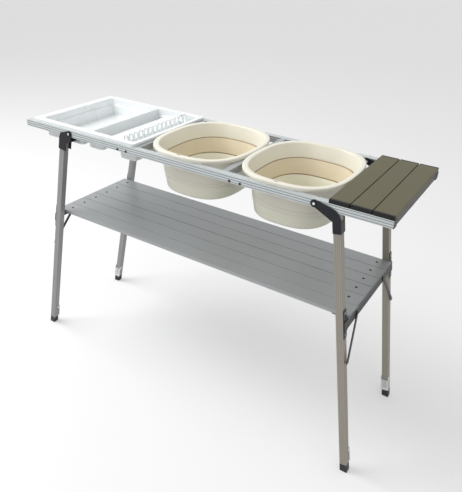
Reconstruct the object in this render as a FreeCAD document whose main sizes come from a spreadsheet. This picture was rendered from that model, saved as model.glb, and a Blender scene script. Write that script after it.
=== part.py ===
import FreeCAD, Part

import math
import os
import re
from types import SimpleNamespace

import Sketcher
from FreeCAD import Placement, Rotation, Vector

# Folding camp wash stand: an aluminium frame that carries a drainer tray, two collapsible basins and a
# slatted end table, on four folding legs with a lift-off shelf. Millimetres, +Z up, the front faces -Y.
# The origin lies on the floor under the middle of the stand.

SIZES = {
    # top frame
    "rail_length": 1200,
    "frame_depth": 386,
    "deck_height": 800,
    "rail_width": 20,
    "rail_height": 20,
    "rail_wall": 1.6,
    "groove_width": 1.4,
    "groove_depth": 0.6,
    "groove_pitch": 3.4,
    "groove_count": 5,
    "plug_rim": 1.5,
    "plug_depth": 12,
    "plug_fit": 0.1,
    # bars across the frame, by their middle: the outer three from the rails' nearer end, and the tray's
    # and the basins' bars past the left and right edges of the first basin's rim
    "left_bar_place": 32,
    "tray_bar_place": 1,
    "basin_bar_place": 1.2,
    "table_bar_place": 93,
    "right_bar_place": 10,
    "bar_width": 18,
    "bar_wall": 1.6,
    "bar_plate_reach": 71,
    "bar_plate_thickness": 3.6,
    "rail_screw_edge": 12,
    "rail_screw_pitch": 32,
    "rail_screw_drop": 5.5,
    "rail_screw_radius": 2,
    "rail_screw_head_radius": 3.6,
    "rail_screw_head_height": 1.2,
    # slats of the end table
    "table_length": 157,
    "table_slat_count": 3,
    "table_slat_gap": 2.4,
    "table_slat_thickness": 11,
    "table_slat_wall": 1.5,
    "table_cap_length": 7,
    # legs and their pivots, each pivot from the rails' nearer end
    "splay": 9.64,
    "pivot_left": 189,
    "pivot_right": 191,
    "pivot_radius": 3,
    "pivot_clearance": 0.08,
    "pivot_head_radius": 6,
    "pivot_head_height": 1.8,
    "pivot_head_gap": 0.2,
    "leg_width": 20,
    "leg_wall": 1.5,
    "leg_offset_left": 28,
    "leg_offset_right": 55,
    "leg_top_gap": 1,
    # fork brackets
    "cheek_gap": 0.5,
    "cheek_thickness": 2.5,
    "bracket_web": 1.6,
    "bracket_web_share": 0.57,
    "bracket_head_radius": 9.8,
    "bracket_inner_gap": 0.3,
    # the left brackets are blocks over the leg
    "block_length": 63,
    "block_shoulder": 4,
    "block_shoulder_top": 8,
    "block_shoulder_end": 22,
    "block_chin": 24,
    "block_heel": 8,
    "block_heel_top": 38,
    # the right ones are arms that bend down into a socket
    "arm_length": 72,
    "arm_reach": 34,
    "arm_drop": 3,
    "arm_shoulder": 13.6,
    "arm_shoulder_top": 13,
    "arm_elbow": 5.4,
    "arm_elbow_drop": 24,
    "arm_shoulder_end": 34,
    "arm_socket": 42,
    "arm_lower_reach": 20,
    "arm_lower_drop": 23.5,
    "arm_root": 1,
    # feet and flip levers
    "foot_height": 24,
    "foot_width": 20.4,
    "foot_gap": 0.3,
    "stem_length": 110,
    "stem_clearance": 0.2,
    "lever_height": 48,
    "lever_length": 45,
    "lever_thickness": 2.2,
    "lever_ear": 2,
    "lever_gap": 0.3,
    "lever_lip": 1.5,
    "lever_lip_height": 6,
    "lever_ear_margin": 4,
    "lever_ear_taper": 12,
    "lever_plate_drop": 8,
    "lever_pin_radius": 2,
    "lever_pin_inset": 5,
    "lever_pin_clearance": 0.1,
    # lower shelf
    "shelf_height": 490,
    "shelf_slat_count": 6,
    "shelf_leg_gap": 4.2,
    "shelf_slat_gap": 2,
    "shelf_slat_thickness": 9,
    "shelf_slat_wall": 1.3,
    "shelf_overhang": 8.5,
    "shelf_screw_inset": 35,
    "shelf_screw_radius": 2,
    "shelf_screw_head_radius": 3.6,
    "shelf_screw_head_height": 1,
    "shelf_bar_depth": 26,
    "shelf_bar_thickness": 2,
    "shelf_flange_width": 44,
    "shelf_flange_thickness": 2.5,
    "shelf_flange_setback": 1,
    "shelf_bar_gap": 0.5,
    "strut_stud_root": 1,
    # hook plates on the legs, from above to below the shelf's top
    "hook_top": 22,
    "hook_bottom": 59,
    "hook_thickness": 1.5,
    "hook_gap": 0.3,
    "hook_ledge": 2.5,
    "hook_seat_gap": 0.2,
    "hook_rivet_radius": 2,
    "hook_rivet_head_radius": 3.6,
    "hook_rivet_head_height": 1.2,
    "hook_rivet_edge": 9.5,
    # struts, by how far their two pins lie below the shelf's top
    "strut_top": 25,
    "strut_bottom": 132,
    "strut_reach": 77,
    "strut_width": 11,
    "strut_thickness": 2,
    "strut_gap": 0.3,
    "strut_pin_radius": 2.5,
    "strut_pin_clearance": 0.1,
    # collapsible basins
    "basin_table_gap": 0.5,
    "basin_gap": 2.5,
    "basin_front": 11,
    "basin_half_length": 149,
    "basin_corner_power": 2.7,
    "basin_rim_height": 10,
    "basin_rim_seat": 0.3,
    "basin_rim_thickness": 3,
    "basin_top_inset_length": 12.5,
    "basin_top_inset_depth": 14.5,
    "basin_base_inset_length": 38,
    "basin_base_inset_depth": 45,
    "basin_depth": 138,
    "basin_ring_height": 43,
    "basin_band_height": 52,
    "basin_wall": 2.4,
    "basin_floor": 2.6,
    "basin_chamfer": 9,
    "basin_joint_gap": 0.3,
    # drainer tray
    "tray_left": 20,
    "tray_basin_gap": 5,
    "tray_front": 8,
    "tray_rim_height": 8,
    "tray_rim_seat": 0.3,
    "tray_wall": 2.2,
    "tray_pivot_gap": 2,
    "tray_left_inset": 22,
    "tray_right_inset": 11,
    "tray_floor_drop": 17,
    "well_front": 33,
    "well_drop": 52,
    "plate_well_drop": 57,
    # the first well's start is from the tray's left edge, and all the rest from its right edge
    "left_well_start": 28,
    "left_well_end": 227,
    "middle_well_start": 207,
    "middle_well_end": 145,
    "plate_well_start": 79,
    "plate_well_end": 13,
    "tray_divider_place": 181,
    # upright prongs between the plates, with their place from the tray's right edge too
    "prong_count": 14,
    "prong_end_gap": 6.3,
    "prong_thickness": 4,
    "prong_width": 18,
    "prong_bar": 4.5,
    "prong_web": 14,
    "prong_place": 56,
    "prong_top": 17,
}

# Sizes that follow from the driving ones, by the same names in the sheet's formulas.
DERIVED = {
    "rail_top": "deck_height - table_slat_thickness",
    "pivot_height": "rail_top - rail_height / 2",
    "inner_depth": "frame_depth - 2 * rail_width",
    "leg_row": "(frame_depth - rail_width) / 2",
    "left_pivot_place": "pivot_left",
    "right_pivot_place": "rail_length - pivot_right",
    "middle": "(right_pivot_place + (leg_offset_right + foot_width / 2) / cos(splay)"
              " + pivot_height * tan(splay)) / 2",
    "basin_right_place": "rail_length - table_length - basin_table_gap - basin_half_length",
    "basin_left_place": "basin_right_place - 2 * basin_half_length - basin_gap",
    "basin_half_depth": "frame_depth / 2 - basin_front",
    "left_bar_middle": "left_bar_place",
    "tray_bar_middle": "basin_left_place - basin_half_length + tray_bar_place",
    "basin_bar_middle": "basin_left_place + basin_half_length + basin_bar_place",
    "table_bar_middle": "rail_length - table_bar_place",
    "right_bar_middle": "rail_length - right_bar_place",
    "tray_right": "basin_left_place - basin_half_length - tray_basin_gap",
    "table_slat_width": "(table_length - (table_slat_count - 1) * table_slat_gap) / table_slat_count",
    "hook_outer": "leg_width / 2 + hook_thickness",
    "shelf_bar_inner": "hook_outer + hook_gap",
    "shelf_bar_outer": "shelf_bar_inner + shelf_bar_thickness",
    "strut_inner": "shelf_bar_outer + strut_gap",
    "strut_outer": "strut_inner + strut_thickness",
    "shelf_bottom": "shelf_height - shelf_slat_thickness",
    "shelf_right": "right_pivot_place + (leg_offset_right + leg_width / 2) / cos(splay)"
                   " + (pivot_height - shelf_height) * tan(splay) + shelf_overhang",
    "shelf_left": "left_pivot_place - (leg_offset_left + leg_width / 2) / cos(splay)"
                  " - (pivot_height - shelf_height) * tan(splay) - shelf_overhang",
    "shelf_width": "2 * (leg_row - leg_width / 2 - shelf_leg_gap)",
    "shelf_slat_width": "(shelf_width - (shelf_slat_count - 1) * shelf_slat_gap) / shelf_slat_count",
    "hook_high": "shelf_height + hook_top",
    "hook_low": "shelf_height - hook_bottom",
    "strut_hinge": "shelf_height - strut_top",
    "strut_rest": "shelf_height - strut_bottom",
    "fork_gap": "max(leg_width; rail_width) + 2 * cheek_gap",
    "cheek_outer": "fork_gap / 2 + cheek_thickness",
    "tray_side_inset": "rail_width / 2 + cheek_outer + pivot_head_gap + pivot_head_height + tray_pivot_gap",
    "prong_floor": "rail_top - plate_well_drop + tray_wall",
    "prong_shoulder": "rail_top + prong_top - prong_width / 2",
    "prong_row": "frame_depth - 2 * (well_front + tray_wall + prong_end_gap)",
    "prong_pitch": "(prong_row - prong_thickness) / (prong_count - 1)",
}

doc = FreeCAD.newDocument("WashStand")
pieces = {}


def formula(text):
    """Turn bare size names into the notation of the sheet and of the derived values."""

    def full_name(match):
        name = match.group()
        if name in SIZES:
            return "Sizes." + name
        return "Derived." + name if name in DERIVED else name

    return re.sub(r"[a-z_]+[a-z]", full_name, text)


def make_sizes():
    """Fill the sheet and the derived values, and return all of them as plain numbers."""
    sheet = doc.addObject("Spreadsheet::Sheet", "Sizes")
    for row, (name, number) in enumerate(SIZES.items(), 1):
        sheet.set(f"A{row}", name)
        sheet.set(f"B{row}", str(number))
        sheet.setAlias(f"B{row}", name)
    doc.recompute()
    derived = doc.addObject("App::VarSet", "Derived")
    for name in DERIVED:
        derived.addProperty("App::PropertyFloat", name)
    for name, text in DERIVED.items():
        derived.setExpression(name, formula(text))
    doc.recompute()
    numbers = {name: float(sheet.get(name)) for name in SIZES}
    numbers.update({name: getattr(derived, name) for name in DERIVED})
    return SimpleNamespace(**numbers)


size = make_sizes()
splay = math.radians(size.splay)


# ---------------------------------------------------------------- helpers for bodies and solids


def new_body(name):
    return doc.addObject("PartDesign::Body", name)


def plane_of(body, role):
    return next(feature for feature in body.Origin.OriginFeatures if feature.Role == role)


def new_sketch(body, role, offset):
    sketch = body.newObject("Sketcher::SketchObject", body.Name + "_sketch")
    sketch.AttachmentSupport = [(plane_of(body, role), "")]
    sketch.MapMode = "FlatFace"
    sketch.setExpression("AttachmentOffset.Base.z", formula(offset))
    return sketch


def hold(sketch, kind, index, point, text):
    """Hold one coordinate, or a radius, of a sketched line or circle at a formula."""
    where = (index,) if kind == "Radius" else (-1, 1, index, point)
    constraint = sketch.addConstraint(Sketcher.Constraint(kind, *where, 1.0))
    sketch.setExpression(f"Constraints[{constraint}]", formula(text))


def add_loop(sketch, corners):
    """Add a closed outline, each corner held at a pair of formulas."""
    first = sketch.GeometryCount
    count = len(corners)
    turn = 2 * math.pi / count
    ring = [Vector(math.cos(turn * i), math.sin(turn * i), 0) for i in range(count)]
    for i in range(count):
        sketch.addGeometry(Part.LineSegment(ring[i], ring[(i + 1) % count]), False)
    for i in range(count):
        sketch.addConstraint(Sketcher.Constraint("Coincident", first + i, 2, first + (i + 1) % count, 1))
    for i, (across, up) in enumerate(corners):
        hold(sketch, "DistanceX", first + i, 1, across)
        hold(sketch, "DistanceY", first + i, 1, up)


def rectangle(low_x, low_y, high_x, high_y):
    return [(low_x, low_y), (high_x, low_y), (high_x, high_y), (low_x, high_y)]


def centred(width, height, grow="0"):
    """A rectangle about the sketch's origin, made larger all round by a formula."""
    half_x = f"(({width}) / 2 + ({grow}))"
    half_y = f"(({height}) / 2 + ({grow}))"
    return rectangle(f"-{half_x}", f"-{half_y}", half_x, half_y)


def add_circles(sketch, centres, radius):
    for across, up in centres:
        index = sketch.addGeometry(Part.Circle(Vector(), Vector(0, 0, 1), 1), False)
        hold(sketch, "DistanceX", index, 3, across)
        hold(sketch, "DistanceY", index, 3, up)
        hold(sketch, "Radius", index, 3, radius)


def pad(body, role, loops, length, offset="0", midplane=True, backwards=False):
    sketch = new_sketch(body, role, offset)
    for corners in loops:
        add_loop(sketch, corners)
    feature = body.newObject("PartDesign::Pad", body.Name + "_pad")
    feature.Profile = sketch
    feature.setExpression("Length", formula(length))
    feature.Midplane = midplane
    feature.Reversed = backwards
    return feature


def cut_through(body, sketch):
    """Cut a sketch right through the body, both ways from its plane."""
    feature = body.newObject("PartDesign::Pocket", body.Name + "_pocket")
    feature.Profile = sketch
    feature.Type = "ThroughAll"
    feature.Midplane = True
    return feature


def drill(body, role, centres, radius):
    sketch = new_sketch(body, role, "0")
    add_circles(sketch, centres, radius)
    return cut_through(body, sketch)


def mirrored(body, feature, role):
    copy = body.newObject("PartDesign::Mirrored", body.Name + "_mirror")
    copy.Originals = [feature]
    copy.MirrorPlane = (plane_of(body, role), [""])
    body.Tip = copy
    return copy


def box(name, length, width, height, corner, rotation=Rotation()):
    """A block with its sizes held at formulas, its low corner at a point."""
    block = doc.addObject("Part::Box", name)
    block.setExpression("Length", formula(length))
    block.setExpression("Width", formula(width))
    block.setExpression("Height", formula(height))
    block.Placement = Placement(corner, rotation)
    return block


def rod(name, radius, length, start, direction):
    """A cylinder with its sizes held at formulas, from a point along a direction."""
    cylinder = doc.addObject("Part::Cylinder", name)
    cylinder.setExpression("Radius", formula(radius))
    cylinder.setExpression("Height", formula(length))
    cylinder.Placement = Placement(start, Rotation(Vector(0, 0, 1), direction))
    return cylinder


def fused(name, parts):
    joined = doc.addObject("Part::MultiFuse", name)
    joined.Shapes = parts
    return joined


def cut(name, base, tools):
    remainder = doc.addObject("Part::Cut", name)
    remainder.Base = base
    remainder.Tool = tools[0] if len(tools) == 1 else fused(name + "_tools", tools)
    return remainder


def keep(label, piece, placement=None):
    """Give a finished sub-part its name and its place."""
    piece.Label = label
    if placement is not None:
        piece.Placement = placement
    pieces[label] = piece


# ---------------------------------------------------------------- places

FRONT = -1
REAR = 1
LEFT = -1
RIGHT = 1
ENDS = {LEFT: "left", RIGHT: "right"}
ROWS = {FRONT: "front", REAR: "rear"}
PIVOT = {LEFT: "left_pivot_place", RIGHT: "right_pivot_place"}
OFFSET = {LEFT: "leg_offset_left", RIGHT: "leg_offset_right"}
BRACKET_LENGTH = {LEFT: "block_length", RIGHT: "arm_length"}


def number(name):
    return getattr(size, name)


def leg_frame(end, row):
    """Place of one leg: its pivot, with local Z up along the leg and local X level with the pivot row."""
    pivot = Vector(number(PIVOT[end]) - size.middle, row * size.leg_row, size.pivot_height)
    return Placement(pivot, Rotation(Vector(0, 1, 0), -end * size.splay))


def down_leg(height, out):
    """Formula for the local Z of a point at a height above the floor, out from the pivot."""
    return f"((({height}) - pivot_height - ({out}) * sin(splay)) / cos(splay))"


def along_leg(height, out):
    """The same local Z as a number."""
    return (height - size.pivot_height - out * math.sin(splay)) / math.cos(splay)


# ---------------------------------------------------------------- top frame

RAIL_SCREWS = [
    "tray_bar_middle - bar_plate_reach + rail_screw_edge",
    "tray_bar_middle - bar_plate_reach + rail_screw_edge + rail_screw_pitch",
    "basin_bar_middle + bar_plate_reach - rail_screw_edge - rail_screw_pitch",
    "basin_bar_middle + bar_plate_reach - rail_screw_edge",
]


def rail_screw_places():
    """Distances of the four screws in one rail from its left end, as numbers."""
    first = size.tray_bar_middle - size.bar_plate_reach + size.rail_screw_edge
    last = size.basin_bar_middle + size.bar_plate_reach - size.rail_screw_edge
    return [first, first + size.rail_screw_pitch, last - size.rail_screw_pitch, last]


def make_rail(row):
    """A box tube with fine grooves along its outer face, drilled for pivots and screws."""
    body = new_body(f"{ROWS[row]}_rail")
    outer = centred("rail_width", "rail_height")
    inner = centred("rail_width", "rail_height", "-rail_wall")
    pad(body, "YZ_Plane", [outer, inner], "rail_length")
    sketch = new_sketch(body, "YZ_Plane", "0")
    low = "(-(groove_count - 1) * groove_pitch / 2 - groove_width / 2)"
    face = f"({row} * rail_width / 2)"
    edges = sorted([f"{face} + {row} * groove_depth", f"{face} - {row} * groove_depth"])
    add_loop(sketch, rectangle(edges[0], low, edges[1], f"{low} + groove_width"))
    groove = cut_through(body, sketch)
    pattern = body.newObject("PartDesign::LinearPattern", body.Name + "_grooves")
    pattern.Originals = [groove]
    pattern.Direction = (plane_of(body, "Z_Axis"), [""])
    pattern.setExpression("Length", formula("(groove_count - 1) * groove_pitch"))
    pattern.setExpression("Occurrences", formula("groove_count"))
    body.Tip = pattern
    pivots = [(f"{PIVOT[end]} - rail_length / 2", "0") for end in ENDS]
    drill(body, "XZ_Plane", pivots, "pivot_radius + pivot_clearance")
    screws = [(f"{place} - rail_length / 2", "-rail_screw_drop") for place in RAIL_SCREWS]
    drill(body, "XZ_Plane", screws, "rail_screw_radius + pivot_clearance")
    across = row * (size.frame_depth - size.rail_width) / 2
    keep(body.Name, body, Placement(Vector(size.rail_length / 2 - size.middle, across, size.pivot_height),
                                    Rotation()))


def make_rail_plugs():
    """A plug in both ends of each rail, with a rim that covers the tube's cut end."""
    parts = []
    stem_width = "(rail_width - 2 * rail_wall - 2 * plug_fit)"
    stem_side = size.rail_width - 2 * size.rail_wall - 2 * size.plug_fit
    for row in ROWS:
        across = row * (size.frame_depth - size.rail_width) / 2
        for end in ENDS:
            face = size.rail_length / 2 * (1 + end) - size.middle
            rim_start = face if end == RIGHT else face - size.plug_rim
            stem_start = face - size.plug_depth if end == RIGHT else face
            parts.append(box("plug_rim", "plug_rim", "rail_width", "rail_height",
                             Vector(rim_start, across - size.rail_width / 2,
                                    size.pivot_height - size.rail_height / 2)))
            parts.append(box("plug_stem", "plug_depth", stem_width,
                             "(rail_height - 2 * rail_wall - 2 * plug_fit)",
                             Vector(stem_start, across - stem_side / 2,
                                    size.pivot_height - size.rail_height / 2 + size.rail_wall
                                    + size.plug_fit)))
    keep("rail_end_plugs", fused("rail_end_plugs", parts))


def make_bar(label, place, plate_side=0):
    """A hollow bar across the frame. One with plates is screwed to the rails beside the vessel."""
    body = new_body(label)
    outer = centred("bar_width", "rail_height")
    inner = centred("bar_width", "rail_height", "-bar_wall")
    pad(body, "XZ_Plane", [outer, inner], "inner_depth")
    if plate_side:
        reach = f"{plate_side} * bar_plate_reach"
        edges = [f"-{plate_side} * bar_width / 2", reach]
        corners = rectangle(edges[0], "-rail_height / 2", edges[1], "rail_height / 2")
        plate = pad(body, "XZ_Plane", [corners], "bar_plate_thickness",
                    "-inner_depth / 2", midplane=False)
        mirrored(body, plate, "XZ_Plane")
        outer_screw = f"{plate_side} * (bar_plate_reach - rail_screw_edge)"
        inner_screw = f"{plate_side} * (bar_plate_reach - rail_screw_edge - rail_screw_pitch)"
        places = [(outer_screw, "-rail_screw_drop"), (inner_screw, "-rail_screw_drop")]
        drill(body, "XZ_Plane", places, "rail_screw_radius + pivot_clearance")
    keep(label, body, Placement(Vector(number(place) - size.middle, 0, size.pivot_height), Rotation()))


def make_rail_screws():
    """Screws in pairs through each rail into the plates of the two middle bars."""
    parts = []
    height = size.pivot_height - size.rail_screw_drop
    for row in ROWS:
        for place in rail_screw_places():
            face = Vector(place - size.middle, row * size.frame_depth / 2, height)
            outward = Vector(0, row, 0)
            parts.append(rod("rail_screw_shank", "rail_screw_radius",
                             "rail_width + bar_plate_thickness", face, -outward))
            parts.append(rod("rail_screw_head", "rail_screw_head_radius", "rail_screw_head_height",
                             face, outward))
    keep("rail_screws", fused("rail_screws", parts))


def make_pivot_rivets():
    """One rivet for each leg, through both cheeks of its bracket and the rail between them."""
    parts = []
    half_grip = "(cheek_outer + pivot_head_gap)"
    reach = size.cheek_outer + size.pivot_head_gap
    for end in ENDS:
        for row in ROWS:
            middle = Vector(number(PIVOT[end]) - size.middle, row * size.leg_row, size.pivot_height)
            across = Vector(0, 1, 0)
            parts.append(rod("pivot_shank", "pivot_radius", f"2 * {half_grip}",
                             middle - across * reach, across))
            for way in (-1, 1):
                parts.append(rod("pivot_head", "pivot_head_radius", "pivot_head_height",
                                 middle + across * way * reach, across * way))
    keep("pivot_rivets", fused("pivot_rivets", parts))


def make_end_table():
    """Hollow slats across both rails, each with a cap on either end."""
    pitch = size.table_slat_width + size.table_slat_gap
    first = size.rail_length - size.table_length + size.table_slat_width / 2
    middle_height = size.rail_top + size.table_slat_thickness / 2
    caps = []
    for index in range(int(size.table_slat_count)):
        body = new_body(f"table_slat_{index + 1}")
        outer = centred("table_slat_width", "table_slat_thickness")
        inner = centred("table_slat_width", "table_slat_thickness", "-table_slat_wall")
        pad(body, "XZ_Plane", [outer, inner], "frame_depth - 2 * table_cap_length")
        across = first + index * pitch - size.middle
        keep(body.Name, body, Placement(Vector(across, 0, middle_height), Rotation()))
        for row in ROWS:
            low = row * size.frame_depth / 2 - (size.table_cap_length if row == REAR else 0)
            corner = Vector(across - size.table_slat_width / 2, low, size.rail_top)
            caps.append(box("table_cap", "table_slat_width", "table_cap_length",
                            "table_slat_thickness", corner))
    keep("table_slat_caps", fused("table_slat_caps", caps))


# ---------------------------------------------------------------- legs


def bracket_outline(end):
    """Cheek of a fork bracket, from the top of its pivot out and down to the end of its socket."""
    inner_edge = f"({OFFSET[end]} - leg_width / 2 - bracket_inner_gap)"
    outer_edge = f"({OFFSET[end]} + leg_width / 2 + bracket_web)"
    if end == RIGHT:
        corners = [("0", "bracket_head_radius"), ("arm_reach", "-arm_drop"),
                   (f"{outer_edge} - arm_shoulder", "-arm_shoulder_top"),
                   (f"{outer_edge} - arm_elbow", "-arm_elbow_drop"),
                   (outer_edge, "-arm_shoulder_end"), (outer_edge, "-arm_length"),
                   (inner_edge, "-arm_length"), (inner_edge, "-arm_socket"),
                   ("arm_lower_reach", "-arm_lower_drop"), ("arm_root", "-bracket_head_radius")]
    else:
        corners = [("0", "bracket_head_radius"), (f"{outer_edge} - block_shoulder", "-block_shoulder_top"),
                   (outer_edge, "-block_shoulder_end"), (outer_edge, "-block_length"),
                   (f"{inner_edge} - block_heel", "-block_length"),
                   (f"{inner_edge} - block_heel", "-block_heel_top"),
                   ("-bracket_head_radius", "-block_chin"), ("-bracket_head_radius", "0")]
    return [(f"{end} * ({across})", up) for across, up in corners]


def make_bracket(end, row, place):
    """Black fork that straddles the rail and the leg, joined by a web over the leg's outer face."""
    body = new_body(f"leg_bracket_{ROWS[row]}_{ENDS[end]}")
    pad(body, "XZ_Plane", [bracket_outline(end)], "2 * cheek_outer")
    sketch = new_sketch(body, "XZ_Plane", "0")
    add_circles(sketch, [("0", "0")], "bracket_head_radius")
    head = body.newObject("PartDesign::Pad", body.Name + "_head")
    head.Profile = sketch
    head.setExpression("Length", formula("2 * cheek_outer"))
    head.Midplane = True
    slot = new_sketch(body, "XZ_Plane", "0")
    web_face = f"{end} * ({OFFSET[end]} + leg_width / 2)"
    web_top = f"-{BRACKET_LENGTH[end]} * bracket_web_share"
    low = f"-2 * {BRACKET_LENGTH[end]}"
    high = "3 * bracket_head_radius"
    open_side = f"-{end} * {high}"
    outside = f"{web_face} + {end} * {high}"
    add_loop(slot, [(open_side, low), (web_face, low), (web_face, web_top), (outside, web_top),
                    (outside, high), (open_side, high)])
    gap = body.newObject("PartDesign::Pocket", body.Name + "_gap")
    gap.Profile = slot
    gap.Midplane = True
    gap.setExpression("Length", formula("fork_gap"))
    drill(body, "XZ_Plane", [("0", "0")], "pivot_radius + pivot_clearance")
    keep(body.Name, body, place)


def make_leg_tube(end, row, place):
    """Square tube that ends square, just under the rail and just above the foot."""
    body = new_body(f"leg_tube_{ROWS[row]}_{ENDS[end]}")
    centre = f"{end} * {OFFSET[end]}"
    loops = []
    for grow in ("leg_width / 2", "(leg_width / 2 - leg_wall)"):
        loops.append(rectangle(f"{centre} - {grow}", f"-{grow}", f"{centre} + {grow}", grow))
    top = f"(-(rail_height / 2 + leg_top_gap + ({OFFSET[end]} + leg_width / 2) * sin(splay)) / cos(splay))"
    bottom = down_leg("foot_height", OFFSET[end])
    pad(body, "XY_Plane", loops, f"{top} - {bottom}", top, midplane=False, backwards=True)
    keep(body.Name, body, place)


def make_foot(end, row, place):
    """Foot cut level with the floor, on a stem that slides in the leg."""
    body = new_body(f"foot_{ROWS[row]}_{ENDS[end]}")
    near = f"({OFFSET[end]} - foot_width / 2)"
    far = f"({OFFSET[end]} + foot_width / 2)"
    tube_end = down_leg("foot_height", OFFSET[end])
    top = f"({tube_end} - foot_gap)"
    corners = [(f"{end} * {near}", down_leg("0", near)), (f"{end} * {far}", down_leg("0", far)),
               (f"{end} * {far}", top), (f"{end} * {near}", top)]
    pad(body, "XZ_Plane", [corners], "foot_width")
    stem_width = "(leg_width - 2 * leg_wall - 2 * stem_clearance)"
    stem = rectangle(f"{end} * {OFFSET[end]} - {stem_width} / 2", top,
                     f"{end} * {OFFSET[end]} + {stem_width} / 2", f"{tube_end} + stem_length")
    pad(body, "XZ_Plane", [stem], stem_width)
    keep(body.Name, body, place)


def make_lever(end, row, place):
    """Flip lever: a plate over the leg's inner face, hung by two ears on pins in the leg's sides."""
    body = new_body(f"foot_lever_{ROWS[row]}_{ENDS[end]}")
    pin = f"({down_leg('foot_height', OFFSET[end])} + lever_height)"
    face = "(leg_width / 2 + lever_gap)"
    back = f"({face} + lever_thickness)"
    tip = f"({pin} - lever_length)"
    ear_edge = "(leg_width / 2 - lever_pin_inset - lever_ear_margin)"
    profile = [(ear_edge, f"{pin} + lever_ear_margin"), (back, f"{pin} + lever_ear_margin"),
               (back, f"{tip} + lever_lip_height"), (f"{back} + lever_lip", tip),
               (f"{face} + lever_lip", tip), (face, f"{tip} + lever_lip_height"),
               (face, f"{pin} - lever_ear_taper"), (ear_edge, f"{pin} - lever_ear_margin")]
    inward = -row
    corners = [(f"{inward} * ({across})", up) for across, up in profile]
    centre = f"{end} * {OFFSET[end]}"
    pad(body, "YZ_Plane", [corners], "leg_width + 2 * lever_gap + 2 * lever_ear", centre)
    slot = new_sketch(body, "YZ_Plane", centre)
    plate_face = f"{inward} * {face}"
    plate_top = f"{pin} - lever_plate_drop"
    beyond = f"{inward} * ({back} + leg_width)"
    far_side = f"-{inward} * leg_width"
    high = f"{pin} + leg_width"
    add_loop(slot, [(far_side, f"{tip} - leg_width"), (plate_face, f"{tip} - leg_width"),
                    (plate_face, plate_top), (beyond, plate_top), (beyond, high), (far_side, high)])
    gap = body.newObject("PartDesign::Pocket", body.Name + "_gap")
    gap.Profile = slot
    gap.Midplane = True
    gap.setExpression("Length", formula("leg_width + 2 * lever_gap"))
    drill(body, "YZ_Plane", [(f"{inward} * (leg_width / 2 - lever_pin_inset)", pin)],
          "lever_pin_radius + lever_pin_clearance")
    keep(body.Name, body, place)


def hook_rivet_heights():
    return [size.hook_high - size.hook_rivet_edge, size.hook_low + size.hook_rivet_edge]


def make_hook(end, row, place):
    """Plate on the leg's outer face, with a ledge that the shelf's cross bar rests on."""
    label = f"shelf_hook_{ROWS[row]}_{ENDS[end]}"
    out = number(OFFSET[end]) + size.leg_width / 2
    low = along_leg(size.hook_low, out)
    start = out if end == RIGHT else -out - size.hook_thickness
    plate = box(label + "_plate", "hook_thickness", "leg_width", "(hook_top + hook_bottom) / cos(splay)",
                Vector(start, -size.leg_width / 2, low))
    ledge_length = "hook_thickness + hook_gap + shelf_bar_thickness"
    ledge_reach = size.hook_thickness + size.hook_gap + size.shelf_bar_thickness
    ledge_start = out if end == RIGHT else -out - ledge_reach
    ledge_top = shelf_bar_low(end) - size.hook_seat_gap
    ledge = box(label + "_ledge", ledge_length, "leg_width", "hook_ledge",
                Vector(ledge_start, -size.leg_width / 2, ledge_top - size.hook_ledge))
    holes = [rod(label + "_hole", "hook_rivet_radius + pivot_clearance", "4 * hook_thickness",
                 Vector(end * (out - size.hook_thickness), 0, along_leg(height, out)), Vector(end, 0, 0))
             for height in hook_rivet_heights()]
    keep(label, cut(label, fused(label + "_solid", [plate, ledge]), holes), place)


def make_leg_pins(end, row, place):
    """Rivets of the hook plate, the strut's pin and the lever's two short pins, all in the leg."""
    label = f"leg_pins_{ROWS[row]}_{ENDS[end]}"
    offset = number(OFFSET[end])
    out = offset + size.leg_width / 2
    outward = Vector(end, 0, 0)
    parts = []
    for height in hook_rivet_heights():
        face = Vector(end * out, 0, along_leg(height, out))
        parts.append(rod("hook_rivet", "hook_rivet_radius", "hook_thickness", face, outward))
        parts.append(rod("hook_rivet_head", "hook_rivet_head_radius", "hook_rivet_head_height",
                         face + outward * size.hook_thickness, outward))
    strut_pin = Vector(end * out, 0, along_leg(size.strut_rest, out))
    parts.append(rod("strut_pin", "strut_pin_radius", "strut_outer - leg_width / 2",
                     strut_pin, outward))
    pin_height = along_leg(size.foot_height, offset) + size.lever_height
    for way in (-1, 1):
        start = Vector(end * offset + way * size.leg_width / 2,
                       -row * (size.leg_width / 2 - size.lever_pin_inset), pin_height)
        parts.append(rod("lever_pin", "lever_pin_radius", "lever_gap + lever_ear", start,
                         Vector(way, 0, 0)))
    keep(label, fused(label, parts), place)


# ---------------------------------------------------------------- lower shelf


def shelf_bar_low(end):
    """Local Z of the lower edge of the shelf's cross bar, in the frame of the legs at that end."""
    out = number(OFFSET[end]) + size.shelf_bar_outer
    return along_leg(size.shelf_bottom - size.shelf_bar_gap, out) - size.shelf_bar_depth


def strut_ends(end, row):
    """Local points of a strut's hinge on the cross bar and of its pin on the leg."""
    out = number(OFFSET[end]) + size.strut_inner
    upper = Vector(end * out, -row * size.strut_reach, along_leg(size.strut_hinge, out))
    lower = Vector(end * out, 0, along_leg(size.strut_rest, number(OFFSET[end]) + size.leg_width / 2))
    return upper, lower


def shelf_screw_places():
    """Heads' places on the shelf's top, at both ends of each slat."""
    pitch = size.shelf_slat_width + size.shelf_slat_gap
    first = -(size.shelf_width - size.shelf_slat_width) / 2
    ends = (size.shelf_left + size.shelf_screw_inset, size.shelf_right - size.shelf_screw_inset)
    return [Vector(end - size.middle, first + index * pitch, size.shelf_height)
            for index in range(int(size.shelf_slat_count)) for end in ends]


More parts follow.
